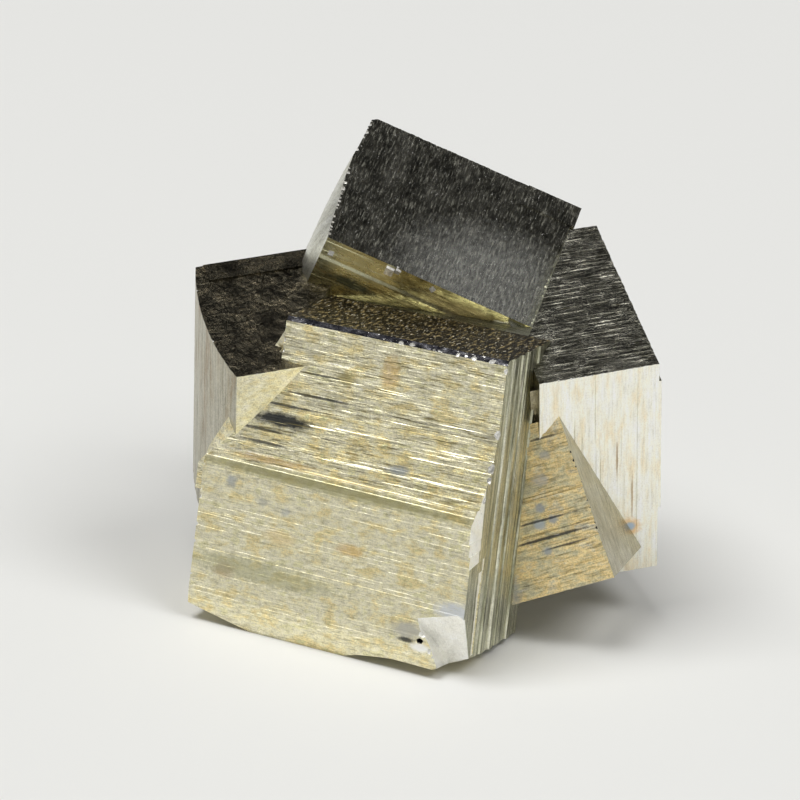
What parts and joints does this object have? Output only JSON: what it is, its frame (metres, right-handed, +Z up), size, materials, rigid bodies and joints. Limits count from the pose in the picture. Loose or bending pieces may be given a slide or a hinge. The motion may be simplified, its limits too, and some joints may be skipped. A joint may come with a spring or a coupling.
{
  "type": "pyrite specimen",
  "caption": "Natural mineral specimen: a compact cluster of intergrown brassy cube crystals with striated, stepped faces, standing free for display or study.",
  "frame": {"origin": "middle of the underside of the bounding box, on the surface that the specimen rests on", "axes": "+Z up, -Y towards the front as pictured, +X to the right as seen from the front"},
  "size_m": [0.0222, 0.0228, 0.0198],
  "materials": {
    "pyrite": "metallic lustre, striated"
  },
  "bodies": {
    "root": {"pyrite_cluster": "pyrite"}
  },
  "joints": []
}
